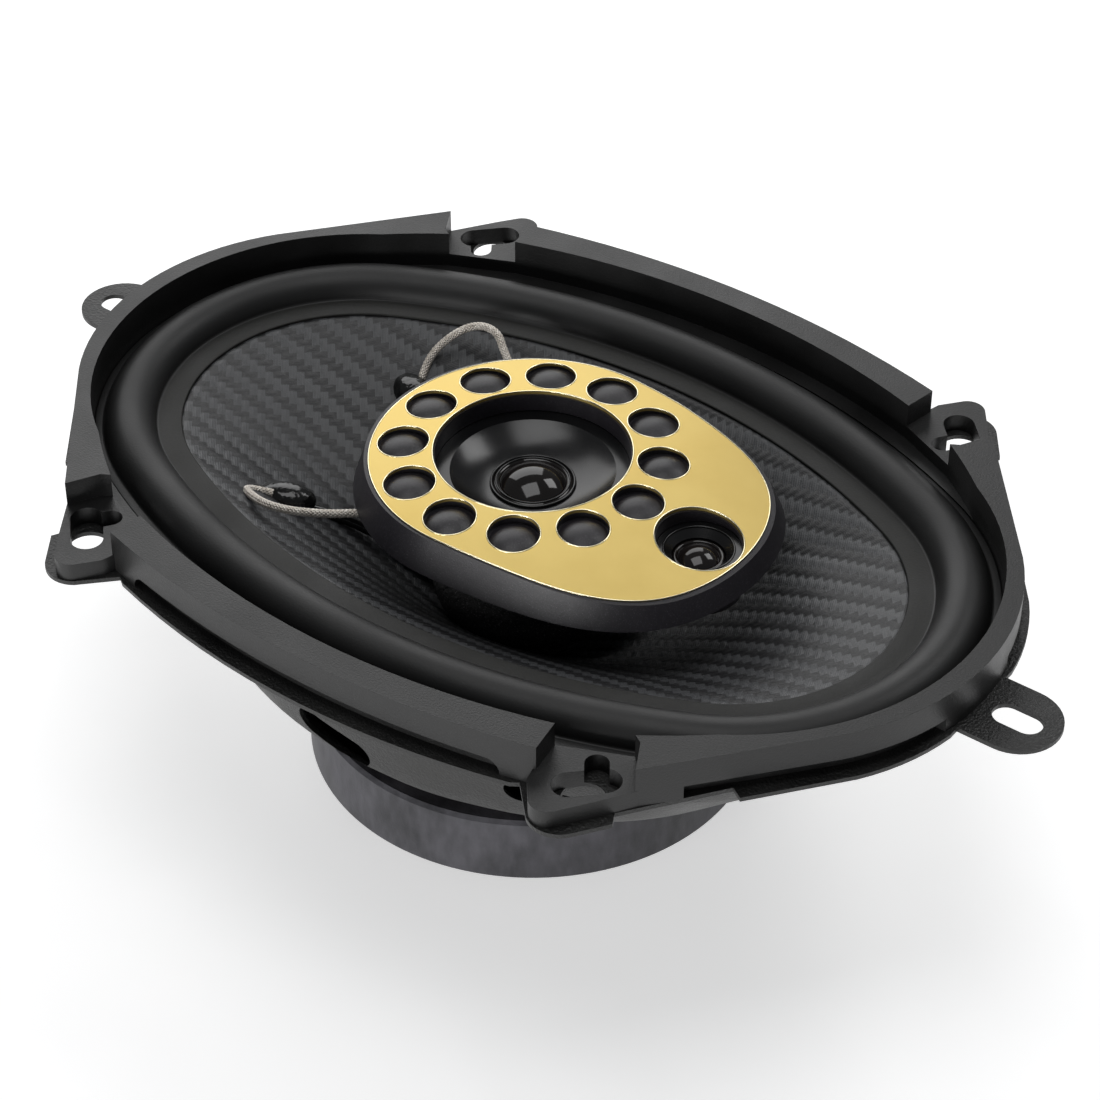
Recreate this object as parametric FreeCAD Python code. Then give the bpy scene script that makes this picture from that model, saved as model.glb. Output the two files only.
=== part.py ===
import FreeCAD, Part
import math
import os

# Coaxial three-way car speaker, 6x8 inch oval, in millimetres.
# Frame: origin at the centre of the four-screw pattern, in the rear face of the
# mounting flange and on the cone axis; +Z out of the cone, +X along the long axis
# towards the small tweeter.

V = FreeCAD.Vector
Z_AXIS = V(0, 0, 1)

# ---------------------------------------------------------------- driving dimensions
# Oval family: every oval is four tangent arcs. At spread 1 the arc centres are
# (+-END_CX, 0) and (0, -+SIDE_CY); spread 0 is a circle.
END_CX = 48.8
SIDE_CY = 97.8
ROLL_END_R = 49.0            # end radius of the surround's middle line, spread 1
CENTRE_GAP = math.hypot(END_CX, SIDE_CY)
SPLIT_DEG = math.degrees(math.atan2(SIDE_CY, END_CX))

# Mounting flange and basket
SHEET = 1.0                  # flange thickness
FLANGE_OPEN = 3.0            # opening edge, outward of the roll's middle line
BASKET_WALL = 1.1
BASKET_BOTTOM_Z = -42.0
BASKET_HOLE_R = 20.0
SCREW_X = 63.2
SCREW_Y = 68.1
SCREW_HOLE_R = 4.4
EAR_SLOT_X = 117.0
EAR_SLOT_LENGTH = 10.6
EAR_SLOT_R = 3.0
EAR_TIP_X = 126.0
EAR_HALF_WIDTH = 9.2
WINDOW_LENGTH = 19.0
WINDOW_HEIGHT = 7.4
WINDOW_TILT_DEG = -10.0
WINDOW_PLACES = (            # direction round the axis in degrees, height of the middle
    (-95, -26.2), (-50, -21.3), (-5, -21.3), (40, -21.3), (85, -26.2), (130, -21.3),
    (-140, -21.3))
WINDOW_START = 40.0          # the window cutters reach from here outward
WINDOW_END = 110.0

# Gasket trim ring
NOTCH_Z = 5.0                # floor of the four corner notches
RIM_Z = 10.5                 # top of the raised segments
RELIEF_X = 46.5              # reach of the relief under a long-side segment
RELIEF_CORNER_R = 3.0
EAR_ROOT_Y = 11.5
LEDGE_Z = 1.8
RELIEF_TOP_Z = 4.2
FOOT_OUT = 6.8               # outer edge of the surround's glued foot
FOOT_Z = 1.6

# Moving cone
CONE_EDGE_IN = -12.0         # where the cone fabric ends, inward of the middle line
LIP_IN = -6.0
CONE_EDGE_Z = 0.9
NECK_R = 13.6
NECK_Z = -31.0
CONE_SKIN = 0.6
FORMER_IN_R = 12.75
FORMER_R = 12.95
COIL_R = 13.75
DUST_RING_R = 21.6
DUST_RING_IN_R = 9.0         # clear of the tweeter post, which the ring slides along
DUST_RING_SEAT_R = 16.6      # its lower edge, where it meets the cone's neck
DUST_RING_LOW_Z = -27.3
DUST_RING_Z = -17.5

# Motor
GAP_R = 14.2
POLE_R = 12.4
TOP_PLATE_R = 45.0
TOP_PLATE_Z = -46.6
FERRITE_R = 49.5
FERRITE_IN_R = 23.0
FERRITE_Z = -63.2
BACK_PLATE_R = 42.0
BACK_Z = -68.2
RIVET_PITCH_R = 30.0

# Tweeter head
PLATE_R = 290.0              # radius of the gently domed trim plate
PLATE_TOP_Z = 13.7
PLATE_T = 0.8
MID_HOLE_R = 20.9
SUPER_X = 42.65
SUPER_HOLE_R = 9.2
DIMPLE_COUNT = 12
DIMPLE_PITCH_R = 27.3
DIMPLE_R = 5.48
DIMPLE_GAP = 0.4             # moat between a false dome and its hole
DIMPLE_BALL_R = 9.4
DIMPLE_TOP_Z = 12.15
DIMPLE_FLOOR_Z = 10.7
PLATE_PROUD = 0.2            # how far the trim plate stands above the skirt's top edge
PLATE_GAP = 0.2              # groove between the trim plate and the skirt
SKIRT_OUT = 3.4              # reach of the flared skirt's lower edge past the trim plate
SKIRT_LOW_Z = 4.2
SKIRT_TOP_OUT = 0.15
SKIRT_TOP_Z = 12.9
SKIRT_LEAN_DEG = 2.3         # the skirt's top leans down towards the small tweeter
BEZEL_NECK_OUT = 0.8         # the wall below the skirt
BEZEL_LOW_Z = 3.4
BEZEL_WALL_IN = -0.6
ROOF_LOW_Z = 9.6
COVER_IN = -0.8
COVER_LOW_Z = 1.4
HEAD_TWIST_DEG = -1.1        # the head sits a little twisted on its post

# Leads
LEAD_R = 0.8
WIDE_BLADE = 6.3
NARROW_BLADE = 4.8
BLADE_GAP = 0.4              # clearance between a blade and the basket wall
BLADE_FIT = 0.05             # clearance between a blade and the block's cavity
EYELET_GAP = 0.15            # clearance round a lead where it passes through a wall
LEAD_Y = 8.0
LEAD_Z = -13.0
LEAD_HOLE_R = 2.4

NEAR_LEAD_ROUTE = [
    (-21.4, -24.6, 1.9), (-24.6, -28.0, 2.4), (-28.6, -31.4, 2.9), (-33.4, -34.0, 2.8),
    (-38.6, -35.2, 2.0), (-43.8, -35.0, 0.8), (-49.0, -33.6, -0.9), (-53.0, -31.0, -2.9),
    (-52.2, -27.9, -4.3), (-49.6, -26.3, -5.2)]

FAR_LEAD_ROUTE = [
    (-21.6, 24.4, 1.9), (-24.8, 27.6, 2.5), (-28.6, 31.0, 3.2), (-32.8, 34.2, 4.8),
    (-36.8, 36.0, 6.9), (-41.2, 36.3, 7.7), (-45.4, 35.2, 5.9), (-48.4, 32.9, 2.4),
    (-50.2, 30.6, -1.4), (-50.8, 28.0, -4.4), (-50.6, 25.2, -6.2)]

REAR_LEAD_ROUTE = [
    (-91.0, 8.0, -13.0), (-84.6, 8.2, -13.4), (-78.0, 9.6, -15.4), (-71.0, 12.6, -18.2),
    (-63.6, 16.8, -19.6), (-57.0, 20.6, -18.2), (-52.8, 22.8, -14.6), (-51.6, 23.4, -10.6)]
FRONT_LEAD_ROUTES = (NEAR_LEAD_ROUTE, FAR_LEAD_ROUTE)


# ---------------------------------------------------------------- helpers
def arc(a, b, c):
    return Part.Arc(a, b, c).toShape()


def line(a, b):
    return Part.makeLine(a, b)


def turned(x, y, z, deg):
    """The point (x, y, z) turned about the Z axis."""
    a = math.radians(deg)
    return V(x * math.cos(a) - y * math.sin(a), x * math.sin(a) + y * math.cos(a), z)


def oval_wire(spread, end_r, z):
    """Closed oval of four tangent arcs; end_r is the radius of its two ends."""
    cx = END_CX * spread
    cy = SIDE_CY * spread
    side_r = end_r + CENTRE_GAP * spread

    def on(centre, radius, deg):
        a = math.radians(deg)
        return V(centre[0] + radius * math.cos(a), centre[1] + radius * math.sin(a), z)

    arcs = []
    for centre, radius, mid, half in (
            ((cx, 0), end_r, 0, SPLIT_DEG), ((0, -cy), side_r, 90, 90 - SPLIT_DEG),
            ((-cx, 0), end_r, 180, SPLIT_DEG), ((0, cy), side_r, 270, 90 - SPLIT_DEG)):
        arcs.append(arc(on(centre, radius, mid - half), on(centre, radius, mid),
                        on(centre, radius, mid + half)))
    return Part.Wire(arcs)


def oval_plate(offset, low, high):
    """Solid oval slab; offset is measured outward from the roll's middle line."""
    face = Part.Face(oval_wire(1.0, ROLL_END_R + offset, low))
    return face.extrude(V(0, 0, high - low))


def oval_ring(profile_edges):
    """Sweep a profile of (offset, z) edges round the oval as four turned pieces."""
    pieces = []
    for centre, radius, mid, half in (
            ((END_CX, 0), ROLL_END_R, 0, SPLIT_DEG),
            ((0, -SIDE_CY), ROLL_END_R + CENTRE_GAP, 90, 90 - SPLIT_DEG),
            ((-END_CX, 0), ROLL_END_R, 180, SPLIT_DEG),
            ((0, SIDE_CY), ROLL_END_R + CENTRE_GAP, 270, 90 - SPLIT_DEG)):
        face = Part.Face(Part.Wire([edge(radius) for edge in profile_edges]))
        face.rotate(V(0, 0, 0), Z_AXIS, mid - half)
        face.translate(V(centre[0], centre[1], 0))
        pieces.append(face.revolve(V(centre[0], centre[1], 0), Z_AXIS, 2 * half))
    ring = pieces[0]
    for piece in pieces[1:]:
        ring = ring.fuse(piece)
    return ring.removeSplitter()


def profile_line(a, b):
    return lambda radius: line(V(radius + a[0], 0, a[1]), V(radius + b[0], 0, b[1]))


def profile_arc(a, b, c):
    return lambda radius: arc(V(radius + a[0], 0, a[1]), V(radius + b[0], 0, b[1]),
                              V(radius + c[0], 0, c[1]))


def turned_part(points):
    """Solid of revolution about Z from a closed list of (radius, z) points."""
    corners = [V(r, 0, z) for r, z in points]
    face = Part.Face(Part.makePolygon(corners + corners[:1]))
    return face.revolve(V(0, 0, 0), Z_AXIS, 360)


def disc(radius, low, high, x=0.0, y=0.0):
    return Part.makeCylinder(radius, high - low, V(x, y, low))


def ring(inner, outer, low, high, x=0.0, y=0.0):
    return disc(outer, low, high, x, y).cut(disc(inner, low - 1, high + 1, x, y))


def block(x0, x1, y0, y1, z0, z1):
    return Part.makeBox(x1 - x0, y1 - y0, z1 - z0, V(x0, y0, z0))


def slot(ax, ay, bx, by, radius, low, high):
    """Round-ended slot cutter from (ax, ay) to (bx, by), its end centres."""
    dx = bx - ax
    dy = by - ay
    length = math.hypot(dx, dy)
    bar = Part.makeBox(length, 2 * radius, high - low, V(0, -radius, 0))
    bar.rotate(V(0, 0, 0), Z_AXIS, math.degrees(math.atan2(dy, dx)))
    bar.translate(V(ax, ay, low))
    return bar.fuse([disc(radius, low, high, ax, ay), disc(radius, low, high, bx, by)])


def four_fold(shape):
    """A corner cutter or boss and its three mirror images."""
    images = [shape]
    images.append(shape.mirror(V(0, 0, 0), V(1, 0, 0)))
    images.append(shape.mirror(V(0, 0, 0), V(0, 1, 0)))
    images.append(images[1].mirror(V(0, 0, 0), V(0, 1, 0)))
    return images


def prism(edges, low, high):
    face = Part.Face(Part.Wire(edges))
    return face.extrude(V(0, 0, high - low))


def outline(points, z):
    """Closed outline of straight runs and arcs; an arc's middle point is marked."""
    edges = []
    start = V(points[0][0], points[0][1], z)
    i = 1
    closed = points + [points[0]]
    while i < len(closed):
        here = V(closed[i][0], closed[i][1], z)
        if len(closed[i]) == 3:
            after = V(closed[i + 1][0], closed[i + 1][1], z)
            edges.append(arc(start, here, after))
            start = after
            i += 2
        else:
            edges.append(line(start, here))
            start = here
            i += 1
    return edges


def mirrored_outline(quarter):
    """The whole outline from its +X +Y quarter, listed from the X axis to the Y axis.

    The first and last points lie on the axes and are the middles of arcs there.
    """
    first = quarter[0]
    last = quarter[-1]
    inner = quarter[1:-1]

    def flip(point, sx, sy):
        return (point[0] * sx, point[1] * sy) + tuple(point[2:])

    whole = [flip(first, 1, 1) + ("mid",)]
    whole += inner
    whole += [flip(last, 1, 1) + ("mid",)]
    whole += [flip(p, -1, 1) for p in reversed(inner)]
    whole += [flip(first, -1, 1) + ("mid",)]
    whole += [flip(p, -1, -1) for p in inner]
    whole += [flip(last, 1, -1) + ("mid",)]
    whole += [flip(p, 1, -1) for p in reversed(inner)]
    # start the list at a corner, not at the middle of an arc
    return whole[1:] + whole[:1]


def route_tube(points, radius):
    """A tube along straight runs joined by tangent arcs; returns tube and radii."""
    pts = [V(*p) for p in points]
    edges = []
    radii = []
    here = pts[0]
    for i in range(1, len(pts) - 1):
        before = pts[i - 1].sub(pts[i])
        after = pts[i + 1].sub(pts[i])
        turn = math.pi - before.getAngle(after)
        cut = 0.45 * min(before.Length, after.Length)
        radii.append(cut / math.tan(turn / 2))
        unit_in = before.normalize()
        unit_out = after.normalize()
        start = pts[i].add(V(unit_in).multiply(cut))
        end = pts[i].add(V(unit_out).multiply(cut))
        bisector = V(unit_in).add(unit_out).normalize()
        to_centre = radii[-1] / math.cos(turn / 2)
        middle = pts[i].add(V(bisector).multiply(to_centre - radii[-1]))
        edges.append(line(here, start))
        edges.append(arc(start, middle, end))
        here = end
    edges.append(line(here, pts[-1]))
    spine = Part.Wire(edges)
    first = pts[1].sub(pts[0])
    section = Part.Wire([Part.makeCircle(radius, pts[0], first)])
    tube = spine.makePipeShell([section], True, True)
    return tube, radii, spine.Length


# ---------------------------------------------------------------- basket
WALL_SECTIONS = (            # outside of the sloping wall: z, spread, end radius
    (BASKET_BOTTOM_Z, 0.0, 49.0), (-39.5, 0.08, 51.2), (-30.0, 0.35, 56.2),
    (-15.0, 0.75, 54.6), (-3.0, 1.0, 53.2), (0.0, 1.0, 53.2))

EAR_CENTRE_X = EAR_TIP_X - EAR_HALF_WIDTH


def wall_bowl(inset, low_z, high_z):
    """Filled bowl inside the basket wall, inset from its outer face."""
    wires = []
    for z, spread, end_r in WALL_SECTIONS:
        level = min(max(z, low_z), high_z)
        wires.append(oval_wire(spread, end_r - inset, level))
    return Part.makeLoft(wires, True, True)


def flange_plate():
    quarter = [
        (EAR_TIP_X, 0), (EAR_CENTRE_X, EAR_HALF_WIDTH), (109.0, EAR_HALF_WIDTH),
        (109.0, 11.6), (106.2, 22.0, "mid"), (101.0, 32.0), (86.6, 50.4), (84.0, 48.8),
        (70.2, 67.8), (71.6, 70.4), (67.0, 76.9), (62.6, 79.8, "mid"), (57.6, 78.6),
        (51.0, 71.8), (49.4, 72.9), (0, 79.6)]
    return prism(outline(mirrored_outline(quarter), 0.0), 0.0, SHEET)


def window_cutters():
    """Long low windows through the sloping wall; the terminal block takes an eighth place."""
    cutters = []
    radius = WINDOW_HEIGHT / 2
    reach = WINDOW_LENGTH / 2 - radius
    for deg, z in WINDOW_PLACES:
        bar = block(WINDOW_START, WINDOW_END, -reach, reach, -radius, radius)
        for y in (-reach, reach):
            start = V(WINDOW_START, y, 0)
            bar = bar.fuse(Part.makeCylinder(radius, WINDOW_END - WINDOW_START, start, V(1, 0, 0)))
        bar.rotate(V(0, 0, 0), V(1, 0, 0), WINDOW_TILT_DEG)
        bar.translate(V(0, 0, z))
        bar.rotate(V(0, 0, 0), Z_AXIS, deg)
        cutters.append(bar)
    return cutters


def make_basket():
    outer = wall_bowl(0.0, BASKET_BOTTOM_Z, 0.0)
    inner = wall_bowl(BASKET_WALL, BASKET_BOTTOM_Z + SHEET, SHEET)
    flange = flange_plate()
    shell = outer.fuse(flange).cut(inner)
    shell = shell.cut(oval_plate(FLANGE_OPEN, -0.5, SHEET + 1))
    cutters = window_cutters()
    cutters.append(disc(BASKET_HOLE_R, -50, -30))
    cutters += four_fold(disc(SCREW_HOLE_R, -1, 3, SCREW_X, SCREW_Y))
    reach = EAR_SLOT_LENGTH / 2 - EAR_SLOT_R
    for side in (1, -1):
        cutters.append(slot(side * EAR_SLOT_X - reach, 0, side * EAR_SLOT_X + reach, 0,
                            EAR_SLOT_R, -1, 3))
    cutters += [c.copy() for c in rivet_shanks(0.1)]
    for y in (LEAD_Y, -LEAD_Y):
        cutters.append(Part.makeCylinder(LEAD_HOLE_R, 20, V(-95, y, LEAD_Z), V(1, 0, 0)))
    cutters += [blade(LEAD_Y, WIDE_BLADE, BLADE_GAP), blade(-LEAD_Y, NARROW_BLADE, BLADE_GAP)]
    return shell.cut(cutters)


# ---------------------------------------------------------------- gasket trim ring
def gasket_notch_boss():
    """Corner boss of the lower ring, outside the ring's own edge."""
    return outline([(72.6, 64.0), (66.1, 73.7), (63.2, 77.7), (60.2, 79.2, "mid"),
                    (57.6, 78.0), (54.0, 73.5), (53.0, 69.8), (52.0, 62.0),
                    (66.0, 56.0)], SHEET)


def gasket_body(low, high):
    """Whole ring outline without the corner bosses."""
    outer = mirrored_outline([(109.0, 0), (98.1, 32.8), (72.3, 64.3), (53.9, 70.5), (0, 77.4)])
    return prism(outline(outer, low), low, high)


def skirt_reliefs():
    """Long reliefs under the raised segments, which leave the corner bosses and ear roots."""
    back = mirrored_outline([(106.9, 0), (96.3, 31.9), (70.9, 62.5), (53.2, 68.6), (0, 75.5)])
    back = prism(outline(back, 0), 0, NOTCH_Z + 1)
    cutters = []
    for side in (1, -1):
        relief = block(-RELIEF_X, RELIEF_X, min(0, side * 90), max(0, side * 90),
                       SHEET, SHEET + 1)
        inner = RELIEF_X - RELIEF_CORNER_R
        relief = relief.fuse(block(-inner, inner, min(0, side * 90), max(0, side * 90),
                                   SHEET, RELIEF_TOP_Z))
        for x in (-inner, inner):
            turn = Part.makeCylinder(RELIEF_CORNER_R, 90, V(x, 0, RELIEF_TOP_Z - RELIEF_CORNER_R),
                                     V(0, side, 0))
            relief = relief.fuse(turn)
        cutters.append(relief.cut(back))
        for y0, y1 in ((EAR_ROOT_Y, 57.0), (-57.0, -EAR_ROOT_Y)):
            relief = block(min(0, side * 120), max(0, side * 120), y0, y1, SHEET, RELIEF_TOP_Z)
            cutters.append(relief.cut(back))
    return cutters


def gasket_hollow(low, high):
    inner = mirrored_outline([(104.4, 0), (97.6, 26.0), (88.2, 37.9, "mid"), (66.7, 56.5),
                              (52.6, 62.9), (0, 71.2)])
    return prism(outline(inner, low), low, high)


def corner_gap():
    """Space between a long-side segment and a short-side segment, above the floor."""
    return outline([(53.9, 75.0), (53.9, 70.2), (52.6, 62.9), (51.8, 58.0), (64.0, 52.0),
                    (66.7, 56.5), (68.6, 57.6), (72.3, 64.3), (78.0, 74.0), (66.0, 90.0)],
                   NOTCH_Z)


def make_gasket():
    lower = gasket_body(SHEET, NOTCH_Z)
    for boss in four_fold(prism(gasket_notch_boss(), SHEET, NOTCH_Z)):
        lower = lower.fuse(boss)
    upper = gasket_body(NOTCH_Z, RIM_Z)
    upper = upper.cut(four_fold(prism(corner_gap(), NOTCH_Z, RIM_Z + 2)))
    ring_body = lower.fuse(upper)
    ring_body = ring_body.cut(gasket_hollow(LEDGE_Z, RIM_Z + 2))
    ring_body = ring_body.cut(oval_plate(FOOT_OUT + 0.1, 0, RIM_Z + 2))
    holes = slot(61.2, 70.2, 66.0, 65.2, 3.35, 0, RIM_Z)
    holes = holes.fuse(slot(64.0, 65.0, 62.0, 62.2, 2.4, 0, RIM_Z))
    return ring_body.cut(four_fold(holes) + skirt_reliefs()).removeSplitter()


# ---------------------------------------------------------------- surround, cone, spider
def make_surround():
    t = 0.6
    top = FOOT_Z + 4.9
    edges = [
        profile_line((CONE_EDGE_IN, CONE_EDGE_Z), (LIP_IN, CONE_EDGE_Z)),
        profile_arc((LIP_IN, CONE_EDGE_Z), (-0.7, top - t), (4.4, SHEET)),
        profile_line((4.4, SHEET), (FOOT_OUT, SHEET)),
        profile_line((FOOT_OUT, SHEET), (FOOT_OUT, FOOT_Z)),
        profile_line((FOOT_OUT, FOOT_Z), (4.85, FOOT_Z)),
        profile_arc((4.85, FOOT_Z), (-0.7, top), (LIP_IN - 0.5, FOOT_Z)),
        profile_line((LIP_IN - 0.5, FOOT_Z), (CONE_EDGE_IN, CONE_EDGE_Z + t)),
        profile_line((CONE_EDGE_IN, CONE_EDGE_Z + t), (CONE_EDGE_IN, CONE_EDGE_Z))]
    return oval_ring(edges)


CONE_SECTIONS = (            # face of the cone: z, spread, end radius
    (NECK_Z, 0.0, NECK_R), (-17.5, 0.36, 22.1), (-8.0, 0.64, 28.6),
    (CONE_EDGE_Z, 1.0, ROLL_END_R + CONE_EDGE_IN))


def cone_bowl(grow):
    """Filled space above the cone's face; grow moves that face outward."""
    wires = [oval_wire(spread, end_r + grow, z) for z, spread, end_r in CONE_SECTIONS]
    return Part.makeLoft(wires, True, False)


def make_cone():
    skin = cone_bowl(CONE_SKIN).cut(cone_bowl(0.0))
    collar = ring(FORMER_R + 0.05, NECK_R + CONE_SKIN, NECK_Z - 1.6, NECK_Z)
    landing = oval_plate(LIP_IN - 1.5, CONE_EDGE_Z - 0.5, CONE_EDGE_Z)
    landing = landing.cut(oval_plate(CONE_EDGE_IN, -2, 2))
    eyelets = [route_tube(route, LEAD_R + EYELET_GAP)[0] for route in FRONT_LEAD_ROUTES]
    return skin.fuse([collar, landing]).removeSplitter().cut(eyelets)


def make_spider():
    """Corrugated disc, cupped down to its glued landing."""
    t = 0.5
    top = [(FORMER_R + 0.05, -33.4), (15.5, -33.6)]
    corrugations = 6
    pitch = (36.0 - 16.5) / corrugations
    for k in range(corrugations):
        r = 16.5 + k * pitch
        top.append((r + pitch * 0.25, -33.4))
        top.append((r + pitch * 0.75, -35.2))
    top += [(36.2, -34.4), (38.2, -40.4), (43.0, -40.4)]
    low = [(43.0, -41.0), (37.7, -41.0)]
    low += [(r - 0.15, z - t) for r, z in reversed(top[2:-2])]
    low += [(15.4, -34.1), (FORMER_R + 0.05, -35.0)]
    return turned_part(top + low)


def make_dust_ring():
    """Foam ring that fills the neck of the cone round the tweeter post."""
    return turned_part([
        (DUST_RING_IN_R, DUST_RING_LOW_Z), (DUST_RING_SEAT_R, DUST_RING_LOW_Z),
        (DUST_RING_R - 0.7, -23.0), (DUST_RING_R, -20.0), (DUST_RING_R - 0.7, -18.3),
        (DUST_RING_R - 2.4, DUST_RING_Z), (DUST_RING_IN_R, DUST_RING_Z)])


# ---------------------------------------------------------------- motor
def rivet_shanks(clearance):
    shanks = []
    for k in range(4):
        p = turned(RIVET_PITCH_R, 0, 0, 45 + 90 * k)
        shanks.append(disc(2.0 + clearance, TOP_PLATE_Z + 0.4 - clearance, -40.0, p.x, p.y))
    return shanks


def make_rivets():
    heads = []
    shanks = rivet_shanks(0.0)
    for k in range(4):
        p = turned(RIVET_PITCH_R, 0, 0, 45 + 90 * k)
        head = Part.makeSphere(4.6, V(p.x, p.y, -43.6), Z_AXIS)
        head = head.common(disc(4.0, BASKET_BOTTOM_Z + SHEET, -38, p.x, p.y))
        heads.append(head.fuse(shanks[k]))
    return Part.makeCompound(heads)


def make_top_plate():
    plate = ring(GAP_R, TOP_PLATE_R, TOP_PLATE_Z, BASKET_BOTTOM_Z)
    return plate.cut(rivet_shanks(0.1))


def make_ferrite():
    c = 0.8
    return turned_part([
        (FERRITE_IN_R, FERRITE_Z), (FERRITE_R - c, FERRITE_Z), (FERRITE_R, FERRITE_Z + c),
        (FERRITE_R, TOP_PLATE_Z - c), (FERRITE_R - c, TOP_PLATE_Z),
        (FERRITE_IN_R, TOP_PLATE_Z)])


def make_yoke():
    return turned_part([
        (2.7, BACK_Z + 4.6), (5.6, BACK_Z + 4.6), (5.6, BACK_Z), (BACK_PLATE_R - 1.5, BACK_Z),
        (BACK_PLATE_R, BACK_Z + 1.5), (BACK_PLATE_R, FERRITE_Z), (POLE_R, FERRITE_Z),
        (POLE_R, BASKET_BOTTOM_Z), (2.7, BASKET_BOTTOM_Z)])


# ---------------------------------------------------------------- post and its nut
def make_post():
    return turned_part([
        (0, BACK_Z + 0.6), (2.5, BACK_Z + 0.6), (2.5, BASKET_BOTTOM_Z),
        (11.6, BASKET_BOTTOM_Z), (11.6, BASKET_BOTTOM_Z + 3.0), (8.0, BASKET_BOTTOM_Z + 8.0),
        (7.0, -14.0), (11.5, -9.5), (11.5, -7.0), (0, -7.0)])


def make_post_nut():
    across = 8.0
    corners = [turned(across / 2 / math.cos(math.pi / 6), 0, BACK_Z + 0.8, 60 * k + 30)
               for k in range(6)]
    nut = Part.Face(Part.makePolygon(corners + corners[:1])).extrude(V(0, 0, 3.8))
    return nut.cut(disc(2.55, BACK_Z, -60))


# ---------------------------------------------------------------- tweeter head
def head_outline(grow, z):
    """Drop-shaped outline of the head, grown outward by grow."""
    g = grow
    points = [
        (52.3 + g, 0), (51.0 + g, 10.0 + 0.2 * g), (46.0 + 0.8 * g, 20.2 + 0.6 * g),
        (36.0 + 0.5 * g, 27.8 + 0.87 * g), (18.5 + 0.2 * g, 32.5 + g),
        (2.4, 34.1 + g)]
    top = [V(x, y, z) for x, y in points]
    low = [V(x, -y, z) for x, y in reversed(points[1:])]
    curve = Part.BSplineCurve()
    curve.interpolate(low + top, InitialTangent=V(1, 0.05, 0), FinalTangent=V(-1, 0.05, 0))
    back = arc(top[-1], V(-34.2 - g, 0, z), low[0])
    return Part.Wire([curve.toShape(), back])


def head_prism(grow, low, high):
    return Part.Face(head_outline(grow, low)).extrude(V(0, 0, high - low))


def plate_ball(depth):
    return Part.makeSphere(PLATE_R - depth, V(0, 0, PLATE_TOP_Z - PLATE_R))


def dimple_places():
    return [turned(DIMPLE_PITCH_R, 0, 0, 360.0 / DIMPLE_COUNT * k)
            for k in range(DIMPLE_COUNT)]


def make_trim_plate():
    plate = head_prism(0.0, 5, 20).common(plate_ball(0.0)).cut(plate_ball(PLATE_T))
    holes = [disc(MID_HOLE_R, 0, 20), disc(SUPER_HOLE_R, 0, 20, SUPER_X)]
    holes += [disc(DIMPLE_R, 0, 20, p.x, p.y) for p in dimple_places()]
    return plate.cut(holes)


def flared_skirt():
    """The head's outer form: a straight flare from the trim plate to a wide lower edge."""
    low = head_outline(SKIRT_OUT, SKIRT_LOW_Z)
    top = head_outline(SKIRT_TOP_OUT, SKIRT_TOP_Z)
    top.rotate(V(0, 0, SKIRT_TOP_Z), V(0, 1, 0), SKIRT_LEAN_DEG)
    return Part.makeLoft([low, top], True, True)


def make_bezel():
    """Front housing: roof under the trim plate, flared skirt, two wells, false domes."""
    above = 20.0
    neck = head_prism(BEZEL_NECK_OUT, BEZEL_LOW_Z, SKIRT_LOW_Z + 1)
    seat = head_prism(PLATE_GAP, BEZEL_LOW_Z, above).cut(plate_ball(PLATE_T))
    body = flared_skirt().common(plate_ball(PLATE_PROUD)).fuse(neck).cut(seat)
    body = body.cut(head_prism(BEZEL_WALL_IN, BEZEL_LOW_Z - 1, ROOF_LOW_Z))
    mid_well = disc(MID_HOLE_R + 1.5, 8.05, 11.5)
    super_well = disc(SUPER_HOLE_R + 1.4, 7.85, 11.5, SUPER_X)
    super_well = super_well.common(head_prism(0.5, 0, above)).common(plate_ball(PLATE_T))
    body = body.fuse([mid_well, super_well])
    body = body.cut([disc(MID_HOLE_R - 0.4, 0, above),
                     disc(SUPER_HOLE_R - 0.4, 0, above, SUPER_X)])
    for p in dimple_places():
        body = body.cut(disc(DIMPLE_R - 0.1, DIMPLE_FLOOR_Z, above, p.x, p.y))
        dome = Part.makeSphere(DIMPLE_BALL_R, V(p.x, p.y, DIMPLE_TOP_Z - DIMPLE_BALL_R))
        dome = dome.common(disc(DIMPLE_R - 0.1 - DIMPLE_GAP, ROOF_LOW_Z + 0.5, above, p.x, p.y))
        body = body.fuse(dome)
    return body


def make_back_cover():
    """Rear of the head: a plate with a bucket behind each tweeter."""
    plate = head_prism(COVER_IN, COVER_LOW_Z, BEZEL_LOW_Z)
    plate = plate.fuse([disc(16.0, -7.0, COVER_LOW_Z), disc(9.3, -2.0, COVER_LOW_Z, SUPER_X)])
    plate = plate.cut([disc(14.3, -5.4, 5), disc(7.8, -0.6, 5, SUPER_X)])
    plate = plate.cut(cover_screw_bodies(0.1))
    for route in FRONT_LEAD_ROUTES:
        # the head is turned on its post after it is made, so its holes are turned back first
        back = [tuple(turned(x, y, z, -HEAD_TWIST_DEG)) for x, y, z in route]
        plate = plate.cut(route_tube(back, LEAD_R + EYELET_GAP)[0])
    return plate


def cover_screw_bodies(clearance):
    screws = []
    for x, y in ((-23.5, 0.0), (29.0, 21.5), (29.0, -21.5)):
        shank = disc(1.4 + clearance, COVER_LOW_Z - 1, BEZEL_LOW_Z + 1.6, x, y)
        head = disc(2.6 + clearance, COVER_LOW_Z - 1.4, COVER_LOW_Z, x, y)
        screws.append(shank.fuse(head))
    return screws


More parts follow.
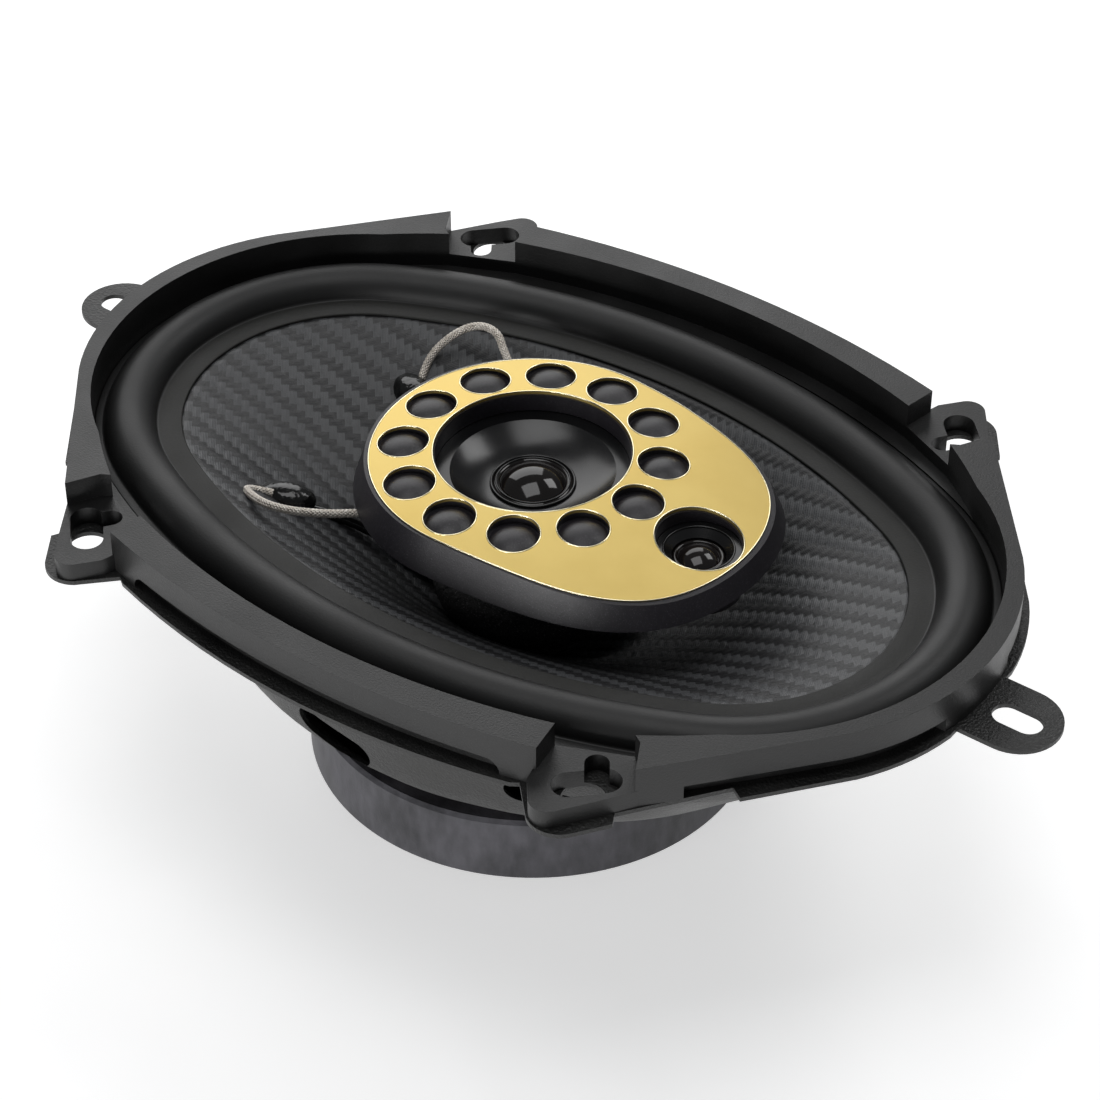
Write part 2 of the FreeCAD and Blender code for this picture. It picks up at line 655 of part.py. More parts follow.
def make_mid_dish():
    """Glossy dished face round the mid tweeter's dome."""
    bottom = [(20.9, 6.9), (17.6, 6.9), (12.6, 4.6), (10.4, 3.8), (8.5, 3.5)]
    corners = [V(r, 0, z) for r, z in bottom]
    low = Part.makePolygon(corners)
    inner_edge = line(corners[-1], V(8.5, 0, 4.5))
    bowl = arc(V(8.5, 0, 4.5), V(12.8, 0, 5.6), V(17.4, 0, 7.9))
    rim = Part.makePolygon([V(17.4, 0, 7.9), V(20.9, 0, 7.9), V(20.9, 0, 6.9)])
    wire = Part.Wire(low.Edges + [inner_edge, bowl] + rim.Edges)
    return Part.Face(wire).revolve(V(0, 0, 0), Z_AXIS, 360)


def dome_cap(base_r, base_z, height, skin, x):
    """Thin spherical dome standing on base_z."""
    radius = (base_r ** 2 + height ** 2) / (2 * height)
    outer = Part.makeSphere(radius, V(x, 0, base_z + height - radius))
    inner = Part.makeSphere(radius - skin, V(x, 0, base_z + height - radius))
    cap = outer.cut(inner)
    return cap.common(disc(base_r + 1, base_z, base_z + height + 1, x))


def moved_in_x(shape, x):
    shape.translate(V(x, 0, 0))
    return shape


def make_super_dish():
    dish = turned_part([(8.7, 6.8), (8.7, 7.8), (7.4, 7.8), (5.5, 6.2), (5.5, 5.3), (7.2, 6.0),
                        (7.4, 6.8)])
    return moved_in_x(dish, SUPER_X)


def dome_roll(inner, outer, z, x):
    """Small half-roll between a dome and its dish."""
    mid = (inner + outer) / 2
    t = 0.15
    roll = turned_part([(inner, z), (inner, z + t), (mid - 0.25, z + 0.5), (mid + 0.25, z + 0.5),
                        (outer, z + t), (outer, z), (mid + 0.2, z + 0.35), (mid - 0.2, z + 0.35)])
    return moved_in_x(roll, x)


# ---------------------------------------------------------------- tinsel leads and glue
def report_lead(name, tube, radii, length):
    section = math.pi * LEAD_R ** 2
    print(name, "length %.1f mm" % length, "radii", ["%.1f" % r for r in radii],
          "volume / (section x length) = %.4f" % (tube.Volume / (section * length)))


def make_lead(name, route):
    tube, radii, length = route_tube(route, LEAD_R)
    report_lead(name, tube, radii, length)
    return tube


def make_glue(x, y, z, lead_route):
    """Adhesive mound over the eyelet, with the coil wire's ridge down to the neck."""
    mound = Part.makeSphere(1.0)
    matrix = FreeCAD.Matrix()
    matrix.scale(V(7.0, 4.2, 3.4))
    mound = mound.transformGeometry(matrix)
    mound.rotate(V(0, 0, 0), Z_AXIS, math.degrees(math.atan2(y, x)) + 180)
    mound.translate(V(x, y, z))
    side = 1 if y > 0 else -1
    ridge = route_tube(
        [(x + 2, y - side * 1.0, z - 1.2), (-39.5, side * 16.6, -12.7),
         (-29.0, side * 11.0, -18.9), (-18.0, side * 6.4, -26.4)], 1.1)[0]
    shape = mound.fuse(ridge).common(cone_bowl(-0.02))
    # pocket for the lead's end, clear of it while the cone moves
    pocket = route_tube(lead_route, LEAD_R + 0.3)[0]
    return shape.cut(pocket)


# ---------------------------------------------------------------- terminals
def make_terminal_block():
    body = block(-96.0, -78.0, -14.0, 14.0, -21.0, -8.0)
    body = body.cut(wall_bowl(-0.05, BASKET_BOTTOM_Z - 1, 1.0))
    for y in (LEAD_Y, -LEAD_Y):
        body = body.cut(Part.makeCylinder(LEAD_HOLE_R, 18, V(-93.2, y, LEAD_Z), V(1, 0, 0)))
    return body.cut([blade(LEAD_Y, WIDE_BLADE, BLADE_FIT),
                     blade(-LEAD_Y, NARROW_BLADE, BLADE_FIT)])


def blade(y, width, grow):
    """Push-on blade hanging out of the block, its root in the block's cavity."""
    return block(-92.6 - grow, -91.8 + grow, y - width / 2 - grow, y + width / 2 + grow,
                 -32.0 - grow, -11.0 + grow)


# ---------------------------------------------------------------- the whole speaker
def build():
    turn = HEAD_TWIST_DEG
    pieces = {
        "basket": make_basket(),
        "gasket_trim": make_gasket(),
        "surround": make_surround(),
        "cone": make_cone(),
        "spider": make_spider(),
        "dust_ring": make_dust_ring(),
        "voice_coil_former": ring(FORMER_IN_R, FORMER_R, -50.0, -27.5),
        "voice_coil_winding": ring(FORMER_R + 0.02, COIL_R, -49.0, -39.6),
        "top_plate": make_top_plate(),
        "ferrite_magnet": make_ferrite(),
        "t_yoke": make_yoke(),
        "basket_rivets": make_rivets(),
        "tweeter_post": make_post(),
        "post_nut": make_post_nut(),
        "terminal_block": make_terminal_block(),
        "terminal_positive": blade(LEAD_Y, WIDE_BLADE, 0.0),
        "terminal_negative": blade(-LEAD_Y, NARROW_BLADE, 0.0),
        "front_lead_near": make_lead("front_lead_near", NEAR_LEAD_ROUTE),
        "front_lead_far": make_lead("front_lead_far", FAR_LEAD_ROUTE),
        "rear_lead_positive": make_lead("rear_lead_positive", REAR_LEAD_ROUTE),
        "rear_lead_negative": make_lead(
            "rear_lead_negative", [(x, -y, z) for x, y, z in REAR_LEAD_ROUTE]),
        "lead_glue_near": make_glue(-48.6, -24.0, -7.6, NEAR_LEAD_ROUTE),
        "lead_glue_far": make_glue(-50.2, 22.4, -7.6, FAR_LEAD_ROUTE),
    }
    head = {
        "tweeter_bezel": make_bezel(),
        "tweeter_back_cover": make_back_cover(),
        "gold_trim_plate": make_trim_plate(),
        "cover_screws": Part.makeCompound(cover_screw_bodies(0.0)),
        "mid_dish": make_mid_dish(),
        "mid_dome": dome_cap(6.9, 4.75, 2.6, 0.25, 0.0),
        "mid_dome_surround": dome_roll(7.0, 8.4, 4.5, 0.0),
        "mid_voice_coil": ring(6.45, 6.85, 1.6, 4.7),
        "mid_top_ring": ring(7.25, 14.0, 1.9, 3.4),
        "mid_pole_cap": disc(6.1, 1.9, 3.4),
        "mid_magnet": disc(5.8, -3.9, 1.9),
        "mid_yoke_cup": disc(14.0, -5.4, -3.9).fuse(ring(12.4, 14.0, -3.9, 1.9)),
        "super_dish": make_super_dish(),
        "super_dome": dome_cap(4.3, 5.75, 1.7, 0.2, SUPER_X),
        "super_dome_surround": dome_roll(4.4, 5.4, 5.5, SUPER_X),
        "super_voice_coil": ring(3.95, 4.25, 2.9, 5.7, SUPER_X),
        "super_top_ring": ring(4.6, 7.5, 3.4, 4.6, SUPER_X),
        "super_pole_cap": disc(3.65, 3.4, 4.6, SUPER_X),
        "super_magnet": disc(3.4, 0.4, 3.4, SUPER_X),
        "super_yoke_cup": disc(7.5, -0.6, 0.4, SUPER_X).fuse(
            ring(6.2, 7.5, 0.4, 3.4, SUPER_X)),
        "mid_capacitor": Part.makeCylinder(3.0, 13.0, V(27.2, 1.0, 6.55), V(0, 1, 0)),
        "super_capacitor": Part.makeCylinder(2.6, 13.0, V(27.2, -14.0, 6.15), V(0, 1, 0)),
    }
    for name, shape in head.items():
        shape.rotate(V(0, 0, 0), Z_AXIS, turn)
        pieces[name] = shape
    return pieces


def main():
    os.makedirs("parts", exist_ok=True)
    for name, shape in build().items():
        box = shape.BoundBox
        print("%-22s solids %d valid %s volume %9.1f  x %.1f..%.1f y %.1f..%.1f z %.1f..%.1f" % (
            name, len(shape.Solids), shape.isValid(), shape.Volume, box.XMin, box.XMax,
            box.YMin, box.YMax, box.ZMin, box.ZMax))
        shape.exportStep("parts/" + name + ".step")


main()
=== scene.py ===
import math
import bmesh
import bpy
import numpy as np
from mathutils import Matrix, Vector


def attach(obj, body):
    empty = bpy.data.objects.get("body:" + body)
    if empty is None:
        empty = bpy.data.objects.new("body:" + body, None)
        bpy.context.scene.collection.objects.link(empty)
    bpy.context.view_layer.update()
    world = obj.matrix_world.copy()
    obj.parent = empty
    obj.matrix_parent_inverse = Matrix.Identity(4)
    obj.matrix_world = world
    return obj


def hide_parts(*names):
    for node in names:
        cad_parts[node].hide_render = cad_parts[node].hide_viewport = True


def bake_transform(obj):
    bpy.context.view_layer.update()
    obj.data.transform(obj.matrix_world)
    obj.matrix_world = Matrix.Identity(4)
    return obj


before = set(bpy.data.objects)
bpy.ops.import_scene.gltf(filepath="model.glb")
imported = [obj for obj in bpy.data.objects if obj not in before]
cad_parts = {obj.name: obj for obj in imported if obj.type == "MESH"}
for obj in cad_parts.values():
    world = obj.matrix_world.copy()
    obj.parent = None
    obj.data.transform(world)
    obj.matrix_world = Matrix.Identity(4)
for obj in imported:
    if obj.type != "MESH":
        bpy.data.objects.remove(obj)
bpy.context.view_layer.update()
scene = bpy.context.scene
MM = 0.001

# ------------------------------------------------------------------ shared sizes, mm
END_CX = 48.8                # arc centres of the oval family at spread 1
SIDE_CY = 97.8
CENTRE_GAP = math.hypot(END_CX, SIDE_CY)
SPLIT = math.atan2(SIDE_CY, END_CX)
ROLL_END_R = 49.0            # end radius of the roll's middle line
CONE_EDGE_IN = -12.0         # the cone's edge, inside that line
CONE_EDGE_R = ROLL_END_R + CONE_EDGE_IN
CONE_SECTIONS = (            # z, spread and end radius of the cone's face, neck to edge
    (-31.0, 0.0, 13.6), (-17.5, 0.36, 22.1), (-8.0, 0.64, 28.6), (0.9, 1.0, CONE_EDGE_R))
CONE_SKIN = 0.6
NECK_BORE_R = 13.0           # bore of the cone's neck and the spider, round the coil former
SUPER_X = 42.65              # the small tweeter's centre, before the head's twist
HEAD_TWIST = math.radians(-1.1)
FLOOR_Z = -68.2
FLOOR_GAP = 0.02             # the floor lies this much under the object
TOOTH_PITCH = 2.25           # the twill's step along X
WALE_PITCH = 5.35            # one light row and one dark row
TWILL_DEPTH = 0.26
FIBRE_WAVE = 31.4            # radians of the fibres' ripple across one tow
WELD = 2e-6                  # metres, corners closer than this are one

# ------------------------------------------------------------------ mesh counts
END_STATIONS, SIDE_STATIONS = 150, 200           # round the surround's end and side arcs
CONE_END_STATIONS, CONE_SIDE_STATIONS = 190, 250
CONE_ROWS = 118              # from the neck to the edge of the cone's face
CONE_BACK_ROWS = 24
TURNED_STEPS = 96


# ------------------------------------------------------------------ camera
CAMERA_PLACE = (0.3181, -0.4193, 0.4110)
CAMERA_FORWARD = (-0.46614, 0.62313, -0.62803)
CAMERA_LENS_MM = 104.02


def make_camera():
    data = bpy.data.cameras.new("camera")
    data.sensor_width = 36.0
    data.lens = CAMERA_LENS_MM
    data.clip_start = 0.05
    data.clip_end = 20.0
    camera = bpy.data.objects.new("camera", data)
    scene.collection.objects.link(camera)
    camera.location = CAMERA_PLACE
    camera.rotation_euler = Vector(CAMERA_FORWARD).to_track_quat("-Z", "Y").to_euler()
    scene.camera = camera


# ------------------------------------------------------------------ materials
def new_material(name, rough, metallic=0.0, specular=0.5):
    mat = bpy.data.materials.new(name)
    mat.use_nodes = True
    tree = mat.node_tree
    shader = tree.nodes["Principled BSDF"]
    shader.inputs["Roughness"].default_value = rough
    shader.inputs["Metallic"].default_value = metallic
    shader.inputs["Specular IOR Level"].default_value = specular
    return mat, tree, shader


def object_coords(tree):
    return tree.nodes.new("ShaderNodeTexCoord").outputs["Object"]


def math_node(tree, operation, a, b=None, c=None):
    """A Math node's result; each input is a number or a socket."""
    node = tree.nodes.new("ShaderNodeMath")
    node.operation = operation
    for i, value in enumerate((a, b, c)):
        if value is None:
            continue
        if isinstance(value, (int, float)):
            node.inputs[i].default_value = value
        else:
            tree.links.new(value, node.inputs[i])
    return node.outputs[0]


def noise(tree, coords, size_mm, detail, stretch=None):
    """Noise whose features are about size_mm across."""
    if stretch:
        mapping = tree.nodes.new("ShaderNodeMapping")
        mapping.inputs["Scale"].default_value = stretch
        tree.links.new(coords, mapping.inputs["Vector"])
        coords = mapping.outputs[0]
    node = tree.nodes.new("ShaderNodeTexNoise")
    node.inputs["Scale"].default_value = 1000.0 / size_mm
    node.inputs["Detail"].default_value = detail
    tree.links.new(coords, node.inputs["Vector"])
    return node.outputs["Fac"]


def ranged(tree, value, low, high, start=0.3, end=0.7):
    """Maps start..end of value to low..high, held at the ends."""
    node = tree.nodes.new("ShaderNodeMapRange")
    node.inputs["From Min"].default_value = start
    node.inputs["From Max"].default_value = end
    node.inputs["To Min"].default_value = low
    node.inputs["To Max"].default_value = high
    tree.links.new(value, node.inputs["Value"])
    return node.outputs[0]


def mixed(tree, factor, a, b):
    """Blends two colours, each a tuple or a socket, through the Mix node's colour sockets."""
    node = tree.nodes.new("ShaderNodeMix")
    node.data_type = "RGBA"
    tree.links.new(factor, node.inputs["Factor"])
    for i, value in ((6, a), (7, b)):
        if isinstance(value, tuple):
            node.inputs[i].default_value = value + (1.0,)
        else:
            tree.links.new(value, node.inputs[i])
    return node.outputs[2]


def picked(tree, choice, a, b):
    """Value a where choice is 0 and b where it is 1, through the Mix node's float sockets."""
    node = tree.nodes.new("ShaderNodeMix")
    node.data_type = "FLOAT"
    tree.links.new(choice, node.inputs["Factor"])
    tree.links.new(a, node.inputs[2])
    tree.links.new(b, node.inputs[3])
    return node.outputs[0]


def plan_position(tree, coords):
    """The X and Y parts of the object coordinates."""
    split = tree.nodes.new("ShaderNodeSeparateXYZ")
    tree.links.new(coords, split.inputs[0])
    return split.outputs[0], split.outputs[1]


def bump(tree, height, depth_mm):
    node = tree.nodes.new("ShaderNodeBump")
    node.inputs["Strength"].default_value = 1.0
    node.inputs["Distance"].default_value = depth_mm * MM
    tree.links.new(height, node.inputs["Height"])
    return node.outputs[0]


def finish_material(name, dark, light, rough, grain, depth, patch=18.0, speck=None, **options):
    """Two tones in soft patches, a range of roughness and a fine grain."""
    mat, tree, shader = new_material(name, rough[0], **options)
    coords = object_coords(tree)
    patches = ranged(tree, noise(tree, coords, patch, 4.0), 0.0, 1.0)
    fine = noise(tree, coords, grain, 2.0)
    colour = mixed(tree, patches, dark, light)
    if speck:
        spots = ranged(tree, noise(tree, coords, grain * 0.8, 1.0), 0.0, 1.0, 0.62, 0.72)
        colour = mixed(tree, spots, colour, speck)
    tree.links.new(colour, shader.inputs["Base Color"])
    half_patches = math_node(tree, "MULTIPLY", patches, 0.5)
    wear = math_node(tree, "MULTIPLY_ADD", fine, 0.5, half_patches)
    tree.links.new(ranged(tree, wear, rough[0], rough[1], 0.2, 0.8), shader.inputs["Roughness"])
    if depth:
        tree.links.new(bump(tree, fine, depth), shader.inputs["Normal"])
    return mat


def twill_material(name):
    """Embossed twill: two crossing families of tows and the fibres in them, with painted sheen."""
    mat, tree, shader = new_material(name, 0.42)
    coords = object_coords(tree)
    x, y = plan_position(tree, coords)
    along = math_node(tree, "MULTIPLY", x, 1000.0 / TOOTH_PITCH)
    across = math_node(tree, "MULTIPLY", y, 2000.0 / WALE_PITCH)
    rising = math_node(tree, "ADD", across, along)
    falling = math_node(tree, "SUBTRACT", across, along)
    cell = math_node(tree, "ADD", math_node(tree, "FLOOR", rising),
                     math_node(tree, "FLOOR", falling))
    family = math_node(tree, "LESS_THAN", math_node(tree, "FLOORED_MODULO", cell, 4.0), 2.0)
    fibre_rising = math_node(tree, "SINE", math_node(tree, "MULTIPLY", rising, FIBRE_WAVE))
    fibre_falling = math_node(tree, "SINE", math_node(tree, "MULTIPLY", falling, FIBRE_WAVE))
    fibre = picked(tree, family, fibre_falling, fibre_rising)
    patches = ranged(tree, noise(tree, coords, 30.0, 3.0), 0.0, 1.0)
    fine = noise(tree, coords, 0.35, 2.0)
    # painted sheen: the warp family is painted lighter than the weft, standing in for the tows'
    # sheen
    warp_painted_sheen = mixed(tree, patches, (0.050, 0.052, 0.055), (0.070, 0.072, 0.076))
    weft = mixed(tree, patches, (0.006, 0.006, 0.007), (0.011, 0.011, 0.012))
    colour = mixed(tree, family, weft, warp_painted_sheen)
    # painted sheen: streaks along the fibres are painted lighter grey
    streak = ranged(tree, fibre, 0.0, 0.35, -1.0, 1.0)
    colour = mixed(tree, math_node(tree, "MULTIPLY", streak, fine), colour, (0.07, 0.071, 0.075))
    tree.links.new(colour, shader.inputs["Base Color"])
    tree.links.new(ranged(tree, fine, 0.34, 0.52), shader.inputs["Roughness"])
    height = math_node(tree, "MULTIPLY_ADD", fibre, 0.25, fine)
    tree.links.new(bump(tree, height, 0.05), shader.inputs["Normal"])
    return mat


def cloth_material(name, dark, light, pitch):
    """Plain resin-dipped cloth, its threads crossing at pitch, in mm."""
    mat, tree, shader = new_material(name, 0.75)
    coords = object_coords(tree)
    x, y = plan_position(tree, coords)
    radians_per_metre = 2000.0 * math.pi / pitch
    wave_x = math_node(tree, "SINE", math_node(tree, "MULTIPLY", x, radians_per_metre))
    wave_y = math_node(tree, "SINE", math_node(tree, "MULTIPLY", y, radians_per_metre))
    weave = math_node(tree, "MULTIPLY", wave_x, wave_y)
    patches = noise(tree, coords, 8.0, 3.0)
    mask = ranged(tree, math_node(tree, "MULTIPLY_ADD", weave, 0.3, patches), 0.0, 1.0, 0.1, 0.9)
    tree.links.new(mixed(tree, mask, dark, light), shader.inputs["Base Color"])
    tree.links.new(ranged(tree, patches, 0.65, 0.85), shader.inputs["Roughness"])
    tree.links.new(bump(tree, weave, 0.08), shader.inputs["Normal"])
    return mat


def brushed_material(name, dark, light, rough, axis, **options):
    """Metal or ferrite with faint streaks along one axis, blotches and fine grain."""
    mat, tree, shader = new_material(name, rough[0], **options)
    coords = object_coords(tree)
    blotch = ranged(tree, noise(tree, coords, 14.0, 5.0), 0.0, 1.0)
    streak = noise(tree, coords, 2.5, 3.0, stretch=axis)
    fine = noise(tree, coords, 0.5, 2.0)
    part_blotch = math_node(tree, "MULTIPLY", blotch, 0.4)
    both = math_node(tree, "MULTIPLY_ADD", streak, 0.6, part_blotch)
    mask = ranged(tree, both, 0.0, 1.0, 0.25, 0.75)
    tree.links.new(mixed(tree, mask, dark, light), shader.inputs["Base Color"])
    tree.links.new(ranged(tree, blotch, rough[0], rough[1], 0.0, 1.0), shader.inputs["Roughness"])
    tree.links.new(bump(tree, fine, 0.04), shader.inputs["Normal"])
    return mat


MATERIALS = {
    "powder_coat": finish_material("powder_coat", (0.006, 0.006, 0.006), (0.014, 0.014, 0.013),
                                   (0.34, 0.52), 0.6, 0.22),
    "trim_rubber": finish_material("trim_rubber", (0.005, 0.005, 0.005), (0.011, 0.011, 0.011),
                                   (0.36, 0.50), 0.4, 0.06),
    "surround_rubber": finish_material("surround_rubber", (0.006, 0.006, 0.006),
                                       (0.010, 0.010, 0.010), (0.42, 0.55), 0.5, 0.02,
                                       specular=0.42),
    "lip_rubber": finish_material("lip_rubber", (0.011, 0.011, 0.010), (0.016, 0.016, 0.014),
                                  (0.50, 0.64), 0.45, 0.04, specular=0.33),
    "foam": finish_material("foam", (0.002, 0.002, 0.002), (0.012, 0.012, 0.012),
                            (0.7, 0.9), 0.5, 0.25, patch=0.8, speck=(0.10, 0.10, 0.10)),
    "woven_cone": twill_material("woven_cone"),
    "cone_back": finish_material("cone_back", (0.012, 0.012, 0.012), (0.022, 0.021, 0.020),
                                 (0.6, 0.8), 0.8, 0.05),
    "spider_cloth": cloth_material("spider_cloth", (0.05, 0.028, 0.012), (0.14, 0.09, 0.045), 0.9),
    "coil_former": brushed_material("coil_former", (0.25, 0.25, 0.25), (0.5, 0.5, 0.5),
                                    (0.3, 0.45), (1, 1, 0.2), metallic=1.0),
    "coil_wire": brushed_material("coil_wire", (0.35, 0.12, 0.05), (0.55, 0.22, 0.09),
                                  (0.3, 0.4), (0.2, 0.2, 6), metallic=1.0),
    "plated_steel": brushed_material("plated_steel", (0.018, 0.014, 0.012), (0.035, 0.028, 0.024),
                                     (0.35, 0.55), (1, 1, 0.4), metallic=0.4),
    "ferrite": brushed_material("ferrite", (0.012, 0.012, 0.015), (0.075, 0.073, 0.084),
                                (0.38, 0.62), (1, 1, 0.35)),
    "rivet_steel": brushed_material("rivet_steel", (0.03, 0.03, 0.03), (0.08, 0.08, 0.08),
                                    (0.3, 0.5), (1, 1, 1), metallic=0.8),
    "post_metal": brushed_material("post_metal", (0.25, 0.25, 0.26), (0.45, 0.45, 0.46),
                                   (0.25, 0.4), (0.3, 0.3, 3), metallic=1.0),
    "terminal_plastic": finish_material("terminal_plastic", (0.012, 0.012, 0.012),
                                        (0.02, 0.02, 0.02), (0.4, 0.55), 0.5, 0.03),
    "terminal_metal": brushed_material("terminal_metal", (0.45, 0.43, 0.38), (0.7, 0.68, 0.6),
                                       (0.22, 0.38), (1, 1, 0.3), metallic=1.0),
    "tinsel_braid": finish_material("tinsel_braid", (0.60, 0.54, 0.47), (0.95, 0.90, 0.83),
                                    (0.26, 0.42), 0.4, 0.03, patch=1.2, metallic=0.55),
    "braid_core": finish_material("braid_core", (0.05, 0.045, 0.04), (0.10, 0.09, 0.08),
                                  (0.6, 0.8), 0.4, 0.03),
    "adhesive": finish_material("adhesive", (0.004, 0.004, 0.004), (0.008, 0.008, 0.008),
                                (0.08, 0.18), 2.2, 0.25, patch=4.0),
    "bezel_plastic": finish_material("bezel_plastic", (0.010, 0.009, 0.012),
                                     (0.016, 0.014, 0.018), (0.34, 0.46), 0.26, 0.035,
                                     speck=(0.06, 0.055, 0.065)),
    "gold_metal": finish_material("gold_metal", (0.63, 0.465, 0.150), (0.71, 0.545, 0.195),
                                  (0.44, 0.52), 0.25, 0.012, metallic=1.0),
    "gold_edge": finish_material("gold_edge", (0.95, 0.85, 0.55), (1.0, 0.93, 0.68),
                                 (0.12, 0.2), 1.0, 0.0, metallic=1.0),
    "dish_gloss": finish_material("dish_gloss", (0.0035, 0.0035, 0.004), (0.006, 0.006, 0.0065),
                                  (0.19, 0.26), 3.0, 0.004),
    "dome_film": finish_material("dome_film", (0.006, 0.005, 0.005), (0.016, 0.013, 0.012),
                                 (0.05, 0.1), 2.0, 0.004),
    "neodymium": brushed_material("neodymium", (0.3, 0.3, 0.3), (0.5, 0.5, 0.5),
                                  (0.25, 0.4), (1, 1, 1), metallic=1.0),
    "capacitor_sleeve": finish_material("capacitor_sleeve", (0.01, 0.015, 0.05),
                                        (0.015, 0.02, 0.08), (0.3, 0.4), 1.0, 0.01),
}


# ------------------------------------------------------------------ mesh helpers
def add_mesh(name, verts, faces, material, smooth=True):
    """A new mesh object; verts in mm, several materials when faces carry an index."""
    mesh = bpy.data.meshes.new(name)
    mesh.from_pydata((np.asarray(verts, float) * MM).tolist(), [], faces)
    for mat in material if isinstance(material, (list, tuple)) else [material]:
        mesh.materials.append(MATERIALS[mat])
    mesh.polygons.foreach_set("use_smooth", [smooth] * len(mesh.polygons))
    mesh.update()
    obj = bpy.data.objects.new(name, mesh)
    scene.collection.objects.link(obj)
    return obj


def grid_faces(rows, columns, first=0, close_rows=False):
    """Quads between closed rings of points that are listed ring by ring."""
    faces = []
    for i in range(rows if close_rows else rows - 1):
        ring = first + i * columns
        other = first + (i + 1) % rows * columns
        for j in range(columns):
            k = (j + 1) % columns
            faces.append((other + j, other + k, ring + k, ring + j))
    return faces


def station_angles(end_count, side_count):
    """Arc centre, extra radius and direction of each station round an oval, from the +X end."""
    side_half = 0.5 * math.pi - SPLIT
    arcs = (                 # signs of the centre, side arc or not, middle in half turns
        (1, 0, 0, 0.0, SPLIT, end_count), (0, -1, 1, 0.5, side_half, side_count),
        (-1, 0, 0, 1.0, SPLIT, end_count), (0, 1, 1, 1.5, side_half, side_count))
    rows = []
    for cx, cy, side, mid, half, count in arcs:
        for i in range(count):
            angle = mid * math.pi - half + 2 * half * i / count
            rows.append((cx * END_CX, cy * SIDE_CY, side * CENTRE_GAP, math.cos(angle),
                         math.sin(angle)))
    return np.array(rows)


def oval_points(stations, spread, end_r):
    """Plan points of the oval of that spread and end radius."""
    radius = end_r + stations[:, 2] * spread
    return np.c_[stations[:, 0] * spread + radius * stations[:, 3],
                 stations[:, 1] * spread + radius * stations[:, 4]]


def oval_sweep(name, profile, material):
    """Closed profile of (offset, z) points swept round the spread-1 oval."""
    stations = station_angles(END_STATIONS, SIDE_STATIONS)
    rows = []
    for offset, z in profile:
        xy = oval_points(stations, 1.0, ROLL_END_R + offset)
        rows.append(np.c_[xy, np.full(len(xy), z)])
    faces = grid_faces(len(profile), len(stations), close_rows=True)
    return add_mesh(name, np.concatenate(rows), faces, material)


def turned(name, profile, material, count=TURNED_STEPS, x=0.0, y=0.0):
    """Closed profile of (radius, z) points turned about an upright axis."""
    angles = np.linspace(0, 2 * math.pi, count, endpoint=False)
    rows = [np.c_[x + r * np.cos(angles), y + r * np.sin(angles), np.full(count, z)]
            for r, z in profile]
    faces = grid_faces(len(profile), count, close_rows=True)
    return add_mesh(name, np.concatenate(rows), faces, material)


def arc_points(a, b, c, count):
    """Points on the circle through a, b and c, from a to c, both ends included."""
    ax, ay = a
    bx, by = b
    cx, cy = c
    area = 2 * (ax * (by - cy) + bx * (cy - ay) + cx * (ay - by))
    mid_x = ((ax ** 2 + ay ** 2) * (by - cy) + (bx ** 2 + by ** 2) * (cy - ay)
             + (cx ** 2 + cy ** 2) * (ay - by)) / area
    mid_y = ((ax ** 2 + ay ** 2) * (cx - bx) + (bx ** 2 + by ** 2) * (ax - cx)
             + (cx ** 2 + cy ** 2) * (bx - ax)) / area
    radius = math.hypot(ax - mid_x, ay - mid_y)
    start = math.atan2(ay - mid_y, ax - mid_x)
    middle = (math.atan2(by - mid_y, bx - mid_x) - start) % (2 * math.pi)
    end = (math.atan2(cy - mid_y, cx - mid_x) - start) % (2 * math.pi)
    if middle > end:
        end -= 2 * math.pi
    angles = [start + end * i / (count - 1) for i in range(count)]
    return [(mid_x + radius * math.cos(a), mid_y + radius * math.sin(a)) for a in angles]


def dress(obj, slot, body, *nodes):
    """Hides the nodes the finished piece stands for and hangs it on the body it rides on; slot is
    not used.
    """
    if nodes:
        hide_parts(*nodes)
    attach(obj, body)


def set_second_material(obj, first, end=None):
    """Faces first to end show the mesh's second material, the others its first."""
    index = np.zeros(len(obj.data.polygons), np.int32)
    index[first:end] = 1
    obj.data.polygons.foreach_set("material_index", index)


def set_blend(obj, slot, weights, *nodes):
    """Hides the nodes the piece stands for and updates its mesh; slot and weights are not used."""
    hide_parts(*nodes)
    obj.data.update()


def smooth_step(share):
    share = np.clip(share, 0.0, 1.0)
    return share * share * (3 - 2 * share)


def coordinates(obj):
    """The mesh's corners in mm."""
    return np.array([v.co for v in obj.data.vertices], float) / MM


# ------------------------------------------------------------------ tinsel leads
NEAR_LEAD_ROUTE = (
    (-0.0214, -0.0246, 0.0019), (-0.0246, -0.0280, 0.0023), (-0.0286, -0.0318, 0.0026),
    (-0.0334, -0.0346, 0.0025), (-0.0386, -0.0359, 0.0018), (-0.0438, -0.0356, 0.0007),
    (-0.0490, -0.0337, -0.0008), (-0.0533, -0.0309, -0.0027), (-0.0526, -0.0280, -0.0046),
    (-0.0496, -0.0263, -0.0052))
FAR_LEAD_ROUTE = (
    (-0.0216, 0.0244, 0.0019), (-0.0248, 0.0276, 0.0025), (-0.0289, 0.0307, 0.0033),
    (-0.0335, 0.0337, 0.0048), (-0.0368, 0.0361, 0.0067), (-0.0412, 0.0364, 0.0069),
    (-0.0454, 0.0353, 0.0051), (-0.0486, 0.0327, 0.0022), (-0.0510, 0.0301, -0.0014),
    (-0.0513, 0.0277, -0.0044), (-0.0506, 0.0252, -0.0062))
